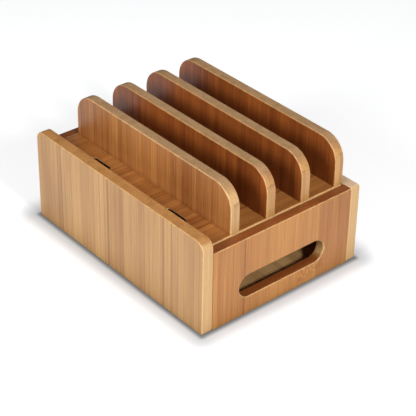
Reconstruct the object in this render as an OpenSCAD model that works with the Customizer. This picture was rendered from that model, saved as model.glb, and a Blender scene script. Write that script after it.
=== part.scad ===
// Desk organizer for charging phones and tablets, in laminated bamboo.
// A box holds the charger and the spare cable. A tray lies in its mouth on two cleats and lifts off.
// Upright dividers stand on the tray, and cables come up through the slots in front of each.
// The origin is at the middle of the footprint, on the surface that the box stands on.
// +X runs right along the front panel, +Y goes from the front panel to the back, and +Z is up.

/* [Overall] */
// Length along the front panel
overall_l = 170.2; // [150:0.1:230]
// Depth from the front panel's face to the rear panel's face
overall_d = 129.5; // [128:0.1:160]
// Height of the divider tops above the table
overall_h = 88.9; // [82:0.1:110]

/* [Box] */
// Height of the front panel
front_h = 66.4; // [58:0.1:72]
// Thickness of the front panel
front_t = 8.2; // [7.2:0.1:10]
// Radius of the front panel's top corners
front_corner_r = 6.5; // [2:0.1:12]
// Thickness of the rear panel
rear_t = 8; // [7.2:0.1:10]
// Thickness of the side panels
side_t = 7.3; // [6.5:0.1:9]
// Height of the side and rear panels
rim_h = 56.5; // [54:0.1:62]
// Rounding of every sanded edge
arris_r = 0.9; // [0.4:0.1:1.4]

/* [Cord outlets] */
// Length of the outlet in each side panel
outlet_l = 70.6; // [40:0.1:78]
// Height of the outlet
outlet_h = 16.2; // [10:0.1:18]
// Height of the outlet's middle above the table
outlet_z = 20.8; // [19:0.1:26]
// Rounding of the outlet's edges
outlet_arris = 1; // [0.4:0.1:1.6]

/* [Bottom board] */
// Thickness of the bottom board
bottom_t = 3.2; // [2.4:0.1:4.5]
// Height of the board's underside above the table
bottom_lift = 4; // [2:0.1:5]
// Depth of the grooves that hold the board
groove_d = 3; // [2:0.1:4]
// Clearance of the board in its grooves
groove_gap = 0.2; // [0.1:0.05:0.4]

/* [Tray] */
// Thickness of the tray
tray_t = 7; // [6:0.1:9]
// How far the tray's top stands above the rims
tray_proud = 0.5; // [0:0.1:1.5]
// Gap between the tray and the walls
tray_gap = 0.4; // [0.3:0.1:1]
// Radius of the tray's corners, seen from above
tray_corner_r = 1.5; // [1.5:0.1:4]
// Width of the cleats that carry the tray
cleat_w = 7; // [5:0.1:10]
// Height of the cleats
cleat_h = 8; // [6:0.1:10]

/* [Dividers] */
// Thickness of each divider
divider_t = 7.3; // [6.5:0.1:8]
// Clear width of the bays between dividers
bay_w = 21.4; // [18:0.1:21.6]
// Radius of the dividers' top corners
divider_corner_r = 15.5; // [6:0.1:20]

/* [Cable slots] */
// Length of each cable slot
slot_l = 18; // [12:0.1:26]
// Width of each cable slot
slot_w = 5; // [4.4:0.1:6]
// Distance from a divider's front face to the middle of its slots
slot_setback = 11.8; // [9:0.1:12.5]
// Distance between the two slots of a bay
slot_pitch = 76.6; // [50:0.1:90]
// How far the pair of slots sits to the right of the middle
slot_shift = 1.5; // [0:0.1:4]
// Rounding of the slots' edges
slot_arris = 0.5; // [0.2:0.1:1]

/* [Corner dowels] */
// Diameter of the dowels
dowel_d = 4; // [3:0.1:4.5]
// Length of the dowels
dowel_l = 16; // [12:0.1:20]
// How deep each dowel goes into the front or rear panel
dowel_seat = 5; // [3:0.1:5.5]
// Height of the lower dowel of each joint
dowel_low_z = 16; // [13:0.1:20]
// Height of the upper dowel of each joint
dowel_high_z = 44; // [34:0.1:47]

/* [Divider screws] */
// Diameter of the screws
screw_d = 3; // [2.5:0.1:3.5]
// Diameter of the countersunk heads
head_d = 5.6; // [5:0.1:6.2]
// Length of the screws with their heads
screw_l = 17; // [12:0.1:22]
// Distance from a divider's end to each of its screws
screw_inset = 22; // [18:0.1:30]

/* [Hidden] */
$fn = 64;

// How far a cutter runs past the face that it cuts
past = 1;
// Clearance round a dowel or screw, and beyond its end
bore_gap = 0.05;
end_gap = 0.3;

// Inner faces of the four walls
front_in = -overall_d / 2 + front_t;
rear_in = overall_d / 2 - rear_t;
side_in = overall_l / 2 - side_t;
inner_d = rear_in - front_in;
// Small radius at the corners of the boards that look square
square_r = 2 * arris_r;

// Tray, lying on its cleats between the walls
tray_top = rim_h + tray_proud;
tray_z = tray_top - tray_t;
tray_l = 2 * (side_in - tray_gap);
tray_front = front_in + tray_gap;
tray_rear = rear_in - tray_gap;

// Dividers from front to back. The last one stands flush with the tray's rear edge.
divider_h = overall_h - tray_top;
divider_count = 4;
divider_ys = [for (i = [divider_count - 1:-1:0]) tray_rear - divider_t - i * (divider_t + bay_w)];
slot_xs = [slot_shift - slot_pitch / 2, slot_shift + slot_pitch / 2];
screw_xs = [-1, 1] * (tray_l / 2 - screw_inset);
dowel_xs = [-1, 1] * (overall_l - side_t) / 2;
dowel_zs = [dowel_low_z, dowel_high_z];

// Screw head at 45 degrees, with a cross recess, and a tapered point
head_t = (head_d - screw_d) / 2;
recess_l = head_d * 0.6;
recess_w = head_d / 8;
recess_t = head_t * 0.7;
tip_d = screw_d / 4;
// Eased ends of a dowel
dowel_ease = dowel_d / 8;

light_bamboo = [0.80, 0.64, 0.46];
warm_bamboo = [0.80, 0.58, 0.36];
brown_bamboo = [0.64, 0.40, 0.20];
pale_wood = [0.85, 0.74, 0.55];
steel = [0.72, 0.72, 0.70];

// Sections, drawn flat

// Whole section of a board with all four corners rounded
module board_section(w, h, r) {
    translate([r, 0]) square([w - 2 * r, h]);
    translate([0, r]) square([w, h - 2 * r]);
    for (x = [r, w - r], y = [r, h - r]) translate([x, y]) circle(r);
}

// Edge of a board: depth runs outward along X, and both outer corners are rounded
module edge_section(depth, t, r) {
    intersection() {
        square([depth, t]);
        translate([-r, 0]) board_section(depth + r, t, r);
    }
}

// Half of a slot through a board of thickness t, from the slot's middle outward
module slot_section(half_w, t, r) {
    difference() {
        translate([0, -past]) square([half_w + r, t + 2 * past]);
        translate([half_w + r + past, 0]) mirror([1, 0]) edge_section(r + past, t, r);
    }
}

// Strip with its lower inner corner rounded over
module cleat_section() {
    soft = cleat_w / 2;
    difference() {
        square([cleat_w, cleat_h]);
        difference() {
            translate([-past, -past]) square(soft + past);
            translate([soft, soft]) circle(soft);
        }
    }
}

// Boards with rounded edges

// Rounded corner about its own centre, turned from +X up to +Z
module board_corner(corner_r, t) {
    translate([0, t, 0]) rotate([90, 0, 0]) rotate_extrude(angle = 90) edge_section(corner_r, t, arris_r);
}

// Straight rounded edge that faces up, along X and centred on it
module board_edge(l, depth, t) {
    translate([-l / 2, 0, 0]) rotate([90, 0, 90]) linear_extrude(l)
        mirror([1, -1]) edge_section(depth, t, arris_r);
}

// Upright board, centred on X and standing on Z = 0, with its thickness along +Y.
// A foot_r of 0 leaves its foot square, to stand on another board.
module board(l, h, t, top_r, foot_r) {
    deep = max(top_r, foot_r);
    sides_h = h - top_r - foot_r;
    translate([-l / 2 + deep, 0, foot_r]) cube([l - 2 * deep, t, sides_h]);
    translate([0, 0, h - top_r]) board_edge(l - 2 * top_r, top_r, t);
    if (foot_r > 0) {
        translate([0, 0, foot_r]) mirror([0, 0, 1]) board_edge(l - 2 * foot_r, foot_r, t);
    }
    for (side = [0, 1]) mirror([side, 0, 0]) {
        translate([l / 2 - deep, 0, foot_r]) linear_extrude(sides_h) edge_section(deep, t, arris_r);
        translate([l / 2 - top_r, 0, h - top_r]) board_corner(top_r, t);
        if (foot_r > 0) {
            translate([l / 2 - foot_r, 0, foot_r]) mirror([0, 0, 1]) board_corner(foot_r, t);
        }
    }
}

// Cutters

// Slot with round ends and rounded edges: length along X, through a board from Z = 0 to t
module slot_cutter(l, w, t, r) {
    straight = l - w;
    translate([-straight / 2, 0, 0]) rotate([90, 0, 90]) linear_extrude(straight) {
        slot_section(w / 2, t, r);
        mirror([1, 0]) slot_section(w / 2, t, r);
    }
    for (side = [0, 1]) mirror([side, 0, 0]) translate([straight / 2, 0, 0]) rotate([0, 0, -90])
        rotate_extrude(angle = 180) slot_section(w / 2, t, r);
}

// Blind bore for a dowel, from a face at Z = 0 down to the depth given
module dowel_bore(depth) {
    translate([0, 0, -depth - end_gap]) cylinder(h = depth + end_gap + past, d = dowel_d + 2 * bore_gap);
}

// What the front and rear panels share, for a panel whose inner face is at face_y and looks along +Y
module panel_cuts(face_y) {
    for (x = dowel_xs, z = dowel_zs) translate([x, face_y, z]) rotate([-90, 0, 0]) dowel_bore(dowel_seat);
    translate([-side_in - groove_d, face_y - groove_d, bottom_lift])
        cube([2 * (side_in + groove_d), groove_d + past, bottom_t + groove_gap]);
}

// Hole with a countersink, up through the tray
module screw_hole() {
    translate([0, 0, -past]) {
        cylinder(h = tray_t + 2 * past, d = screw_d + 2 * bore_gap);
        cylinder(h = head_t + past, d1 = head_d + 2 * (past + bore_gap), d2 = screw_d + 2 * bore_gap);
    }
}

// The box

module front_panel() {
    color(light_bamboo) difference() {
        translate([0, -overall_d / 2, 0]) board(overall_l, front_h, front_t, front_corner_r, square_r);
        panel_cuts(front_in);
    }
}

module rear_panel() {
    color(warm_bamboo) rotate([0, 0, 180]) difference() {
        translate([0, -overall_d / 2, 0]) board(overall_l, rim_h, rear_t, square_r, square_r);
        panel_cuts(-rear_in);
    }
}

module side_panel() {
    color(warm_bamboo) difference() {
        translate([side_in, rear_in, 0]) rotate([90, 0, 0]) linear_extrude(inner_d)
            board_section(side_t, rim_h, arris_r);
        translate([side_in, (front_in + rear_in) / 2, outlet_z]) rotate([90, 0, 90])
            slot_cutter(outlet_l, outlet_h, side_t, outlet_arris);
        translate([side_in - past, front_in - past, bottom_lift])
            cube([groove_d + past, inner_d + 2 * past, bottom_t + groove_gap]);
        for (z = dowel_zs) {
            translate([dowel_xs[1], front_in, z]) rotate([90, 0, 0]) dowel_bore(dowel_l - dowel_seat);
            translate([dowel_xs[1], rear_in, z]) rotate([-90, 0, 0]) dowel_bore(dowel_l - dowel_seat);
        }
    }
}

module left_side_panel() {
    mirror([1, 0, 0]) side_panel();
}

module right_side_panel() {
    side_panel();
}

module bottom_panel() {
    reach = groove_d - groove_gap;
    color(pale_wood) translate([-side_in - reach, front_in - reach, bottom_lift])
        cube([2 * (side_in + reach), inner_d + 2 * reach, bottom_t]);
}

// Strip on the right wall that the tray's end lies on
module cleat() {
    color(warm_bamboo) translate([side_in - cleat_w, rear_in, tray_z - cleat_h]) rotate([90, 0, 0])
        linear_extrude(inner_d) cleat_section();
}

module left_cleat() {
    mirror([1, 0, 0]) cleat();
}

module right_cleat() {
    cleat();
}

// Dowel along +Z with eased ends
module dowel() {
    cylinder(h = dowel_ease, d1 = dowel_d - 2 * dowel_ease, d2 = dowel_d);
    translate([0, 0, dowel_ease]) cylinder(h = dowel_l - 2 * dowel_ease, d = dowel_d);
    translate([0, 0, dowel_l - dowel_ease]) cylinder(h = dowel_ease, d1 = dowel_d, d2 = dowel_d - 2 * dowel_ease);
}

module corner_dowels() {
    color(pale_wood) for (x = dowel_xs, z = dowel_zs) {
        translate([x, front_in - dowel_seat, z]) rotate([-90, 0, 0]) dowel();
        translate([x, rear_in + dowel_seat, z]) rotate([90, 0, 0]) dowel();
    }
}

// The tray and what stands on it

module tray_panel() {
    color(brown_bamboo) difference() {
        translate([0, tray_rear, tray_z]) rotate([90, 0, 0])
            board(tray_l, tray_rear - tray_front, tray_t, tray_corner_r, tray_corner_r);
        for (y = divider_ys) {
            for (x = slot_xs) translate([x, y - slot_setback, tray_z])
                slot_cutter(slot_l, slot_w, tray_t, slot_arris);
            for (x = screw_xs) translate([x, y + divider_t / 2, tray_z]) screw_hole();
        }
    }
}

module divider(y) {
    color(brown_bamboo) difference() {
        translate([0, y, tray_top]) board(tray_l, divider_h, divider_t, divider_corner_r, 0);
        for (x = screw_xs) translate([x, y + divider_t / 2, tray_top - past])
            cylinder(h = screw_l - tray_t + end_gap + past, d = screw_d + 2 * bore_gap);
    }
}

// Countersunk screw along +Z, with its head's face at Z = 0
module screw() {
    difference() {
        union() {
            cylinder(h = head_t, d1 = head_d, d2 = screw_d);
            translate([0, 0, head_t]) cylinder(h = screw_l - head_t - screw_d, d = screw_d);
            translate([0, 0, screw_l - screw_d]) cylinder(h = screw_d, d1 = screw_d, d2 = tip_d);
        }
        for (turn = [0, 90]) rotate([0, 0, turn]) translate([-recess_l / 2, -recess_w / 2, -past])
            cube([recess_l, recess_w, recess_t + past]);
    }
}

module divider_screws() {
    color(steel) for (y = divider_ys, x = screw_xs) translate([x, y + divider_t / 2, tray_z]) screw();
}

front_panel();
rear_panel();
left_side_panel();
right_side_panel();
bottom_panel();
left_cleat();
right_cleat();
corner_dowels();
tray_panel();
divider(divider_ys[0]);  // divider_1
divider(divider_ys[1]);  // divider_2
divider(divider_ys[2]);  // divider_3
divider(divider_ys[3]);  // divider_4
divider_screws();
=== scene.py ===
"""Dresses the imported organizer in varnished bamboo, on a white floor in soft studio light.

Lengths are in metres, in the model's own frame: +X right along the front panel, +Y to the back, +Z up.
Inside the materials lengths are in millimetres, because grain is easier to think of at that scale.
"""
import math

import bpy
from mathutils import Matrix, Vector


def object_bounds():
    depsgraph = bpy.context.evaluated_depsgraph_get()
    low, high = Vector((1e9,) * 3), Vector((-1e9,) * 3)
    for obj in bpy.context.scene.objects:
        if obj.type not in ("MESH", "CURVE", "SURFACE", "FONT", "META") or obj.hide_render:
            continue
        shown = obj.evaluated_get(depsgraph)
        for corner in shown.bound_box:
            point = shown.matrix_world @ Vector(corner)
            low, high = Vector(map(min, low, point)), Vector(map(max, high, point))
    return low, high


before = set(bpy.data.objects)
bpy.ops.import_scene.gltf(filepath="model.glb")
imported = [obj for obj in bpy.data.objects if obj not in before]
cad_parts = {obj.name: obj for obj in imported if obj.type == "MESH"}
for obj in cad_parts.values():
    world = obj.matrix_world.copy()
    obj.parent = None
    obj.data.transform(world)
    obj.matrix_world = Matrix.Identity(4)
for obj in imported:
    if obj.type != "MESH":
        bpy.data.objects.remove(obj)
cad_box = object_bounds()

MM = 0.001
X, Y, Z = 0, 1, 2
AXES = (X, Y, Z)
UP = Vector((0.0, 0.0, 1.0))
BLACK = (0.0, 0.0, 0.0, 1.0)
WHITE = (1.0, 1.0, 1.0, 1.0)
# Centres a value that runs from 0 to 1, and puts the middle of a layer at the model's middle
HALF = 0.5
# Sockets that carry a colour on Blender's Mix node
MIX_FACTOR, MIX_LOW, MIX_HIGH, MIX_RESULT = 0, 6, 7, 2


def srgb(red, green, blue):
    """A colour written in 0 to 255 as seen on a screen, as the linear RGBA that the shaders take."""
    def linear(value):
        value /= 255
        return value / 12.92 if value <= 0.04045 else ((value + 0.055) / 1.055) ** 2.4
    return (linear(red), linear(green), linear(blue), 1.0)


class Graph:
    """A node tree under construction. Its methods add nodes, and most return the socket that they make."""

    def __init__(self, tree):
        self.tree = tree
        self.tree.nodes.clear()

    def node(self, kind, inputs=None, **settings):
        made = self.tree.nodes.new(kind)
        for name, value in settings.items():
            setattr(made, name, value)
        for name, value in (inputs or {}).items():
            self.put(made.inputs[name], value)
        return made

    def put(self, socket, value):
        if isinstance(value, bpy.types.NodeSocket):
            self.tree.links.new(value, socket)
        else:
            socket.default_value = value

    def math(self, operation, *values):
        return self.node("ShaderNodeMath", dict(enumerate(values)), operation=operation).outputs[0]

    def add(self, *values):
        total = values[0]
        for value in values[1:]:
            total = self.math("ADD", total, value)
        return total

    def times(self, *values):
        total = values[0]
        for value in values[1:]:
            total = self.math("MULTIPLY", total, value)
        return total

    def minus(self, value, less):
        return self.math("SUBTRACT", value, less)

    def absolute(self, value):
        return self.math("ABSOLUTE", value)

    def ramp(self, value, low, high, to_low=0.0, to_high=1.0):
        """Takes low..high to to_low..to_high with soft ends, and holds the value beyond them."""
        limits = {"Value": value, "From Min": low, "From Max": high, "To Min": to_low, "To Max": to_high}
        return self.node("ShaderNodeMapRange", limits, interpolation_type="SMOOTHSTEP").outputs[0]

    def fade(self, value, near, far):
        """1 up to near, falling softly to 0 at far."""
        return self.ramp(value, near, far, 1.0, 0.0)

    def vector(self, x=0.0, y=0.0, z=0.0):
        return self.node("ShaderNodeCombineXYZ", {X: x, Y: y, Z: z}).outputs[0]

    def split(self, vector):
        return self.node("ShaderNodeSeparateXYZ", {0: vector}).outputs

    def stretch(self, places, scales):
        """The places along three axes, each times its own scale, as a vector."""
        return self.vector(*[self.times(value, scale) for value, scale in zip(places, scales)])

    def moved(self, vector, x=0.0, y=0.0):
        offset = self.vector(x, y)
        return self.node("ShaderNodeVectorMath", {0: vector, 1: offset}, operation="ADD").outputs[0]

    def noise(self, vector, detail=3.0, roughness=0.5):
        """Smooth noise about 0, mostly within -0.5 to 0.5, whose features are one unit wide."""
        settings = {"Vector": vector, "Scale": 1.0, "Detail": detail, "Roughness": roughness}
        return self.minus(self.node("ShaderNodeTexNoise", settings).outputs["Fac"], HALF)

    def random(self, vector):
        """A value from 0 to 1 that is the same all over one cell."""
        made = self.node("ShaderNodeTexWhiteNoise", {"Vector": vector}, noise_dimensions="3D")
        return made.outputs["Value"]

    def mix(self, factor, low, high):
        made = self.node("ShaderNodeMix", data_type="RGBA", clamp_factor=True)
        self.put(made.inputs[MIX_FACTOR], factor)
        self.put(made.inputs[MIX_LOW], low)
        self.put(made.inputs[MIX_HIGH], high)
        return made.outputs[MIX_RESULT]

    def relief(self, height, strength, distance):
        """The normal of a surface with that relief, whose distance is in metres."""
        settings = {"Strength": strength, "Distance": distance, "Height": height}
        return self.node("ShaderNodeBump", settings).outputs[0]

    def finish(self, shader, kind="ShaderNodeOutputMaterial"):
        self.put(self.node(kind).inputs[0], shader.outputs[0])


def new_material(name):
    material = bpy.data.materials.new(name)
    material.use_nodes = True
    return material, Graph(material.node_tree)


def place(g):
    """Where the point lies in the model, in millimetres, and which way the surface faces, as X, Y, Z."""
    coordinates = g.node("ShaderNodeTexCoord").outputs
    to_millimetres = {0: coordinates["Object"], "Scale": 1 / MM}
    millimetres = g.node("ShaderNodeVectorMath", to_millimetres, operation="SCALE").outputs[0]
    return g.split(millimetres), g.split(coordinates["Normal"])


# Bamboo. A scale is in features per millimetre, and a fade or range is a lower and an upper limit.
# Scales with three values run over the strips, along the grain and through the board.

# Strips of uneven width. The seeds' steps give each material a pattern of its own.
WANDER_SCALE = 0.11
WANDER_SIZE = 1.3
WANDER_PLANE = 0.5
WANDER_STEP, STRIP_STEP, BROAD_STEP = 7.3, 3.17, 1.9
SECOND_DRAW = 41
# Joints between strips darken within this of the joint, and those with a draw under the limit stay pale
JOINT_FADE = (0.05, 0.45)
JOINT_DRAW = 0.25

# Fibres
START_SPREAD = 37.0
COARSE_SCALE = (0.55, 0.010, 0.4)
FINE_SCALE = (1.9, 0.035, 1.3)
DASH_SCALE = (2.6, 0.11, 2.1)
DASH_RANGE = (0.08, 0.3)
BROAD_OVER, BROAD_ALONG = 0.035, 0.012

# What each adds to the tone, which runs from 0 for dark to 1 for light
MIDDLE_TONE = 0.5
STRIP_TONE = 0.42
COARSE_TONE = 0.95
FINE_TONE = 0.85
BROAD_TONE = 0.5
DASH_TONE = -0.22
JOINT_TONE = -0.45

# Seams between planks
SEAM_FADE = (0.1, 0.8)
SEAM_TONE = -0.5

# Knuckles, where a node of the cane shows
KNUCKLE_SLOPE = -0.22
KNUCKLE_OVER_FADE = (8.0, 13.0)
KNUCKLE_ALONG_FADE = (2.0, 7.0)
CURL_OVER, CURL_ALONG, CURL_PLANE = 0.55, 0.3, 3.0
CURL_TONE = 3.2
KNUCKLE_TONE = -0.1

# End grain
PORE_SCALE = 1.3
PORE_RADIUS = 0.3
PORE_TONE = -0.35
MOTTLE_SCALE = 0.9
MOTTLE_TONE = 0.9
END_STRIP_TONE = 0.25

# How squarely a surface has to face along an axis to count as an end or an edge. A hole's wall is what
# faces through the board less than this.
END_FACING = (0.55, 0.97)
EDGE_FACING = (0.35, 0.9)
WALL_FACING = (0.5, 0.95)
# The long edges follow the face's tone less, and are lighter
EDGE_CONTRAST = 0.6
EDGE_TONE = 0.35

# Painted shade on the walls of holes, only within this of the model's middle, which leaves out the tray's
# outer edges
HOLE_SHADE_OVER, HOLE_SHADE_ALONG = 60.0, 54.0
HOLE_SHADE = srgb(44, 20, 10)

# Wear of the arrises, with a painted highlight along them
ARRIS_RANGE = (0.35, 0.95)
SCUFF_SCALE = 0.4
SCUFF_RANGE = (-0.2, 0.25)
WORN_AND_HIGHLIT_RANGE = (0.25, 0.75)

# Relief and varnish
FINE_RELIEF, DASH_RELIEF, JOINT_RELIEF = 0.5, -0.5, -0.8
RELIEF_STRENGTH = 0.35
RELIEF_DEPTH = 0.12 * MM
SHEEN_SCALE = (0.2, 0.05, 0.2)
SHEEN_ROUGHNESS = 0.25
DASH_ROUGHNESS = 0.1
END_ROUGHNESS = 0.12
VARNISH_ROUGHNESS = 0.40
VARNISH_COAT = 0.25
COAT_ROUGHNESS = 0.22

PALE_EDGE = srgb(238, 196, 134)


def strips(g, over, depth, strip, ply, seed):
    """Each strip's own random value, and a darkness from 0 to 1 at the joints between strips."""
    wander = g.noise(g.vector(g.times(over, WANDER_SCALE), seed * WANDER_STEP, WANDER_PLANE), detail=0.0)
    strip_place = g.add(g.math("DIVIDE", over, strip), g.times(wander, WANDER_SIZE), seed * STRIP_STEP)
    strip_number = g.math("FLOOR", strip_place)
    ply_number = g.math("FLOOR", g.add(g.math("DIVIDE", depth, ply), HALF))
    own = g.random(g.vector(strip_number, ply_number, seed))
    joint_draw = g.random(g.vector(ply_number, strip_number, seed + SECOND_DRAW))
    in_strip = g.math("FRACT", strip_place)
    to_joint = g.times(g.math("MINIMUM", in_strip, g.minus(1.0, in_strip)), strip)
    joint = g.times(g.fade(to_joint, *JOINT_FADE), g.ramp(joint_draw, JOINT_DRAW, 1.0))
    return own, joint


def fibres(g, board, own):
    """Coarse and fine fibres about 0, and dashes from 0 to 1, which start afresh in each strip."""
    start = g.times(own, START_SPREAD)
    coarse = g.noise(g.moved(g.stretch(board, COARSE_SCALE), x=start))
    fine = g.noise(g.moved(g.stretch(board, FINE_SCALE), y=start))
    dash = g.noise(g.moved(g.stretch(board, DASH_SCALE), y=start), detail=2.0)
    return coarse, fine, g.ramp(dash, *DASH_RANGE)


def with_planks(g, tone, over, planks):
    """Changes the tone from each plank's start on, with a dark seam there."""
    for start, change in planks:
        seam = g.fade(g.absolute(g.minus(over, start)), *SEAM_FADE)
        beyond = g.math("GREATER_THAN", over, start)
        tone = g.add(tone, g.times(beyond, change), g.times(seam, SEAM_TONE))
    return tone


def with_knuckles(g, tone, over, along, knuckles):
    """Curls the fibres about the middle of each knuckle, across a sloping band."""
    for middle_over, middle_along in knuckles:
        off_over = g.minus(over, middle_over)
        off_along = g.add(g.minus(along, middle_along), g.times(off_over, KNUCKLE_SLOPE))
        reach = g.times(g.fade(g.absolute(off_over), *KNUCKLE_OVER_FADE),
                        g.fade(g.absolute(off_along), *KNUCKLE_ALONG_FADE))
        curl_place = g.vector(g.times(over, CURL_OVER), g.times(along, CURL_ALONG), CURL_PLANE)
        curls = g.noise(curl_place, detail=4.0, roughness=0.7)
        tone = g.add(tone, g.times(reach, g.add(g.times(curls, CURL_TONE), KNUCKLE_TONE)))
    return tone


def end_grain(g, over, depth, own, end, seed):
    """The colour of a sawn end, mottled and with dark pores. end is its dark and its light colour."""
    cells = {"Vector": g.vector(over, depth), "Scale": PORE_SCALE}
    pores = g.node("ShaderNodeTexVoronoi", cells).outputs["Distance"]
    mottle = g.noise(g.vector(g.times(over, MOTTLE_SCALE), g.times(depth, MOTTLE_SCALE), seed))
    tone = g.add(
        MIDDLE_TONE,
        g.times(g.minus(own, HALF), END_STRIP_TONE),
        g.times(mottle, MOTTLE_TONE),
        g.ramp(pores, 0.0, PORE_RADIUS, PORE_TONE, 0.0),
    )
    return g.mix(tone, *end)


def worn_and_highlit_arris(g, position, towards_face):
    """From 0 to 1, how far the rounding between a face and an edge is lightened, partly as wear and partly
    as a painted highlight. It is most at 45 degrees.
    """
    towards_edge = g.math("SQRT", g.minus(1.0, g.times(towards_face, towards_face)))
    arris = g.times(towards_face, towards_edge, 2.0)
    scuffs = g.noise(g.stretch(position, [SCUFF_SCALE] * len(AXES)))
    return g.times(g.ramp(arris, *ARRIS_RANGE), g.ramp(scuffs, *SCUFF_RANGE, *WORN_AND_HIGHLIT_RANGE))


def bamboo(name, grain, across, strip, ply, face, end, seed, contrast, edge_light=PALE_EDGE,
           planks=(), knuckles=(), shade_holes=False, roughness=VARNISH_ROUGHNESS, coat=VARNISH_COAT):
    """Laminated bamboo, varnished unless its coat is 0.

    grain and across are the axes along the strips and across them on the face. strip and ply are a strip's
    width and a layer's thickness. face and end are the dark and light colours of the faces and of the end
    grain, and the long edges lighten towards edge_light. planks lists where a board of another tone starts,
    with the change. knuckles lists the middles of the cane's nodes that show on the face, across and along.
    shade_holes darkens the walls of holes with painted shade.
    """
    material, g = new_material(name)
    through = sum(AXES) - grain - across
    position, normal = place(g)
    over, along, depth = position[across], position[grain], position[through]
    board = (over, along, depth)

    own, joint = strips(g, over, depth, strip, ply, seed)
    coarse, fine, dashes = fibres(g, board, own)
    broad_place = g.vector(g.times(over, BROAD_OVER), g.times(along, BROAD_ALONG), seed * BROAD_STEP)
    broad = g.noise(broad_place, detail=1.0)
    tone = g.add(
        MIDDLE_TONE,
        g.times(g.minus(own, HALF), STRIP_TONE * contrast),
        g.times(coarse, COARSE_TONE * contrast),
        g.times(fine, FINE_TONE * contrast),
        g.times(broad, BROAD_TONE),
        g.times(dashes, DASH_TONE * contrast),
        g.times(joint, JOINT_TONE),
    )
    tone = with_planks(g, tone, over, planks)
    tone = with_knuckles(g, tone, over, along, knuckles)

    dark, light = face
    facing_end = g.ramp(g.absolute(normal[grain]), *END_FACING)
    facing_edge = g.ramp(g.absolute(normal[across]), *EDGE_FACING)
    towards_face = g.absolute(normal[through])
    edge = g.mix(g.add(g.times(tone, EDGE_CONTRAST), EDGE_TONE), dark, edge_light)
    colour = g.mix(facing_edge, g.mix(tone, dark, light), edge)
    colour = g.mix(facing_end, colour, end_grain(g, over, depth, own, end, seed))
    # Painted shade on the walls of the holes, darkening them towards near black
    if shade_holes:
        in_hole = g.times(
            g.fade(towards_face, *WALL_FACING),
            g.math("LESS_THAN", g.absolute(over), HOLE_SHADE_OVER),
            g.math("LESS_THAN", g.absolute(along), HOLE_SHADE_ALONG),
        )
        colour = g.mix(in_hole, colour, HOLE_SHADE)
    # Arrises lighten towards edge_light, partly as wear and partly as a painted highlight
    colour = g.mix(worn_and_highlit_arris(g, position, towards_face), colour, edge_light)

    height = g.add(g.times(fine, FINE_RELIEF), g.times(dashes, DASH_RELIEF), g.times(joint, JOINT_RELIEF))
    sheen_change = g.noise(g.stretch(board, SHEEN_SCALE))
    g.finish(g.node("ShaderNodeBsdfPrincipled", {
        "Base Color": colour,
        "Roughness": g.add(
            roughness,
            g.times(sheen_change, SHEEN_ROUGHNESS),
            g.times(dashes, DASH_ROUGHNESS),
            g.times(facing_end, END_ROUGHNESS),
        ),
        "Normal": g.relief(height, RELIEF_STRENGTH, RELIEF_DEPTH),
        "Coat Weight": coat,
        "Coat Roughness": COAT_ROUGHNESS,
    }))
    return material


# Steel. The turning marks are close together up the screw and long round it.
TURNING_UP, TURNING_ROUND = 9.0, 0.6
TURNING_STRENGTH = 0.3
TURNING_DEPTH = 0.05 * MM
STAIN_SCALE = 0.5
STEEL_ROUGHNESS = 0.34
STAIN_ROUGHNESS = 0.3
STEEL_DARK = srgb(140, 138, 130)
STEEL_LIGHT = srgb(196, 196, 190)


def screw_steel():
    """Zinc-plated steel with fine turning marks round the screws' upright axis."""
    material, g = new_material("screw_steel")
    position, _ = place(g)
    upright = (position[Z], position[X], position[Y])
    turning = g.noise(g.stretch(upright, (TURNING_UP, TURNING_ROUND, TURNING_ROUND)), detail=2.0)
    stain = g.noise(g.stretch(position, [STAIN_SCALE] * len(AXES)))
    g.finish(g.node("ShaderNodeBsdfPrincipled", {
        "Base Color": g.mix(g.add(stain, HALF), STEEL_DARK, STEEL_LIGHT),
        "Metallic": 1.0,
        "Roughness": g.add(STEEL_ROUGHNESS, g.times(stain, STAIN_ROUGHNESS)),
        "Normal": g.relief(turning, TURNING_STRENGTH, TURNING_DEPTH),
    }))
    return material


def assign(material, *nodes):
    for name in nodes:
        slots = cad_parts[name].data.materials
        slots.clear()
        slots.append(material)


# Dark and light colours of each wood's faces and ends
FRONT_FACE = (srgb(158, 106, 58), srgb(226, 178, 114))
FRONT_END = (srgb(158, 100, 42), srgb(222, 162, 96))
REAR_FACE = (srgb(150, 92, 42), srgb(216, 158, 98))
REAR_END = (srgb(222, 180, 140), srgb(252, 224, 188))
SIDE_FACE = (srgb(146, 80, 26), srgb(214, 150, 76))
SIDE_END = (srgb(104, 46, 14), srgb(172, 96, 38))
TRAY_FACE = (srgb(144, 80, 32), srgb(216, 148, 78))
BROWN_FACE = (srgb(136, 76, 32), srgb(206, 142, 78))
# A darker, redder copy of the divider colours for dividers 2 to 4: painted shade of the bays they stand in
SHADED_DIVIDER_FACE = (srgb(104, 44, 12), srgb(184, 104, 44))
SHADED_DIVIDER_EDGE = srgb(226, 174, 108)
DIVIDER_END = (srgb(150, 108, 66), srgb(214, 172, 124))
BOARD_FACE = (srgb(150, 108, 60), srgb(216, 174, 118))
DOWEL_FACE = (srgb(176, 138, 92), srgb(226, 192, 146))
PLAIN_END = (srgb(150, 108, 66), srgb(212, 168, 118))

# Widths of strips and thicknesses of layers, in millimetres
PANEL_STRIP = 5.2
DIVIDER_STRIP = 5.0
HALF_BOARD = 3.65

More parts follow.
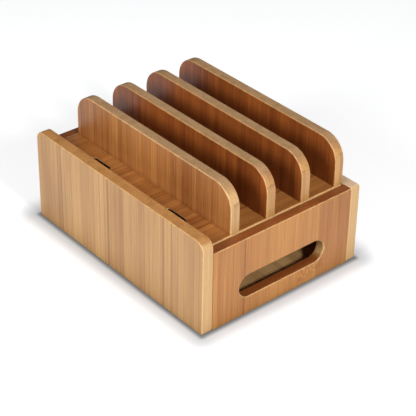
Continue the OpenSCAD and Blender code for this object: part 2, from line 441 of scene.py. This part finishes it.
front_bamboo = bamboo(
    "front_bamboo", grain=Z, across=X, strip=PANEL_STRIP, ply=4.1, face=FRONT_FACE, end=FRONT_END,
    seed=1, contrast=0.6, planks=((-58.0, 0.10), (-8.0, -0.12), (48.0, 0.06)))
rear_bamboo = bamboo(
    "rear_bamboo", grain=Z, across=X, strip=PANEL_STRIP, ply=4.0, face=REAR_FACE, end=REAR_END,
    seed=2, contrast=0.7)
side_bamboo = bamboo(
    "side_bamboo", grain=Z, across=Y, strip=19.0, ply=HALF_BOARD, face=SIDE_FACE, end=SIDE_END,
    seed=3, contrast=0.7, knuckles=((24.0, 10.0),))
tray_bamboo = bamboo(
    "tray_bamboo", grain=Y, across=X, strip=4.8, ply=7.5, face=TRAY_FACE, end=PLAIN_END,
    seed=4, contrast=0.9, shade_holes=True)
divider_bamboo = bamboo(
    "divider_bamboo", grain=Z, across=X, strip=DIVIDER_STRIP, ply=HALF_BOARD, face=BROWN_FACE,
    end=DIVIDER_END, seed=5, contrast=0.8)
board_bamboo = bamboo(
    "board_bamboo", grain=X, across=Y, strip=21.0, ply=1.6, face=BOARD_FACE, end=PLAIN_END,
    seed=7, contrast=0.8, roughness=0.55, coat=0.0)
dowel_wood = bamboo(
    "dowel_wood", grain=Y, across=X, strip=9.0, ply=9.0, face=DOWEL_FACE, end=PLAIN_END,
    seed=8, contrast=0.6, roughness=0.6, coat=0.0)
# Dividers 2 to 4 get this darker copy of the divider bamboo as painted shade
shaded_divider_bamboo = bamboo(
    "shaded_divider_bamboo", grain=Z, across=X, strip=DIVIDER_STRIP, ply=HALF_BOARD, face=SHADED_DIVIDER_FACE,
    end=DIVIDER_END, seed=6, contrast=0.8, edge_light=SHADED_DIVIDER_EDGE)

assign(front_bamboo, "front_panel")
assign(rear_bamboo, "rear_panel")
assign(side_bamboo, "left_side_panel", "right_side_panel", "left_cleat", "right_cleat")
assign(tray_bamboo, "tray_panel")
assign(board_bamboo, "bottom_panel")
assign(dowel_wood, "corner_dowels")
assign(screw_steel(), "divider_screws")
assign(divider_bamboo, "divider_1")
assign(shaded_divider_bamboo, "divider_2", "divider_3", "divider_4")


# The camera that a fit to the photograph's straight edges gave. Angles are in degrees.
CAMERA_PLACE = (0.5951, -0.5008, 0.5340)
CAMERA_AZIMUTH = 49.381
CAMERA_ELEVATION = 31.279
CAMERA_ROLL = 0.995
CAMERA_LENS = 122.58
CAMERA_SENSOR = 36.0
CAMERA_SHIFT_X = 0.0033
CAMERA_SHIFT_Y = -0.1235
CAMERA_CLIP = 0.05

# Where the lamps aim
CENTRE = Vector((0.0, 0.0, 0.04))
# Each lamp's azimuth and elevation in degrees, distance and width in metres, and power in watts
LAMPS = {
    "key": (-3, 31, 1.1, 0.2, 7.6),
    "fill": (-85, 28, 1.1, 0.5, 7.2),
    "top": (60, 80, 1.2, 0.9, 0.8),
}

# The floor, just under the model. Near the footprint it darkens twice, in a tight and in a wide painted
# shadow.
# A painted shadow is how far it reaches in millimetres and what is left of the floor's brightness at the
# footprint.
FLOOR_HALF = 3.0
FLOOR_DROP = 0.05 * MM
FLOOR_COLOUR = srgb(235, 236, 238)
TIGHT_PAINTED_SHADOW = (4.0, 0.35)
WIDE_PAINTED_SHADOW = (22.0, 0.5)
CAMERA_GLOW = 0.55
GLOSSY_GLOW = 0.25

ROOM_LIGHT = 0.14


def set_camera():
    azimuth, elevation, roll = map(math.radians, (CAMERA_AZIMUTH, CAMERA_ELEVATION, CAMERA_ROLL))
    forward = Vector((-math.sin(azimuth) * math.cos(elevation), math.cos(azimuth) * math.cos(elevation),
                      -math.sin(elevation)))
    level = forward.cross(UP).normalized()
    upright = level.cross(forward)
    right = level * math.cos(roll) + upright * math.sin(roll)
    up = upright * math.cos(roll) - level * math.sin(roll)
    data = bpy.data.cameras.new("camera")
    data.sensor_width = CAMERA_SENSOR
    data.lens = CAMERA_LENS
    data.shift_x = CAMERA_SHIFT_X
    data.shift_y = CAMERA_SHIFT_Y
    data.clip_start = CAMERA_CLIP
    camera = bpy.data.objects.new("camera", data)
    turn = Matrix((right, up, -forward)).transposed()
    camera.matrix_world = Matrix.Translation(CAMERA_PLACE) @ turn.to_4x4()
    bpy.context.scene.collection.objects.link(camera)
    bpy.context.scene.camera = camera


def add_lamp(name, azimuth, elevation, distance, size, power):
    """A round lamp that aims at the centre. Azimuth is 0 at +X and 90 at +Y."""
    a, e = math.radians(azimuth), math.radians(elevation)
    outward = Vector((math.cos(a) * math.cos(e), math.sin(a) * math.cos(e), math.sin(e)))
    data = bpy.data.lights.new(name, "AREA")
    data.shape = "DISK"
    data.size = size
    data.energy = power
    lamp = bpy.data.objects.new(name, data)
    lamp.location = outward * distance + CENTRE
    lamp.rotation_mode = "QUATERNION"
    lamp.rotation_quaternion = (-outward).to_track_quat("-Z", "Y")
    bpy.context.scene.collection.objects.link(lamp)


def from_footprint(g, position):
    """How far a point of the floor lies outside the model's footprint, in millimetres."""
    _, high = cad_box
    squares = []
    for axis in (X, Y):
        away = g.math("MAXIMUM", g.minus(g.absolute(position[axis]), high[axis] / MM), 0.0)
        squares.append(g.times(away, away))
    return g.math("SQRT", g.add(*squares))


def floor_white():
    """White that the camera and glossy surfaces see brighter, with a painted shadow of the model round its
    foot.
    """
    material, g = new_material("floor_white")
    position, _ = place(g)
    distance = from_footprint(g, position)
    # Painted contact shadow round the model's footprint, on the floor's colour and on its glow
    painted_shadow = g.times(*[g.ramp(distance, 0.0, reach, left, 1.0) for reach, left in (TIGHT_PAINTED_SHADOW, WIDE_PAINTED_SHADOW)])
    path = g.node("ShaderNodeLightPath").outputs
    seen = g.add(g.times(path["Is Camera Ray"], CAMERA_GLOW), g.times(path["Is Glossy Ray"], GLOSSY_GLOW))
    lit = g.node("ShaderNodeBsdfDiffuse", {"Color": g.mix(painted_shadow, BLACK, FLOOR_COLOUR)})
    glow = g.node("ShaderNodeEmission", {"Color": WHITE, "Strength": g.times(seen, painted_shadow)})
    g.finish(g.node("ShaderNodeAddShader", {0: lit.outputs[0], 1: glow.outputs[0]}))
    return material


def add_floor():
    mesh = bpy.data.meshes.new("floor")
    signs = ((-1, -1), (1, -1), (1, 1), (-1, 1))
    mesh.from_pydata([(x * FLOOR_HALF, y * FLOOR_HALF, 0) for x, y in signs], [], [tuple(range(len(signs)))])
    floor = bpy.data.objects.new("floor", mesh)
    floor.location.z = -FLOOR_DROP
    bpy.context.scene.collection.objects.link(floor)
    mesh.materials.append(floor_white())


def set_world():
    world = bpy.data.worlds.new("studio")
    world.use_nodes = True
    g = Graph(world.node_tree)
    room = g.node("ShaderNodeBackground", {"Color": WHITE, "Strength": ROOM_LIGHT})
    g.finish(room, "ShaderNodeOutputWorld")
    bpy.context.scene.world = world


for lamp_name, settings in LAMPS.items():
    add_lamp(lamp_name, *settings)
set_camera()
add_floor()
set_world()
bpy.context.scene.view_settings.view_transform = "Standard"
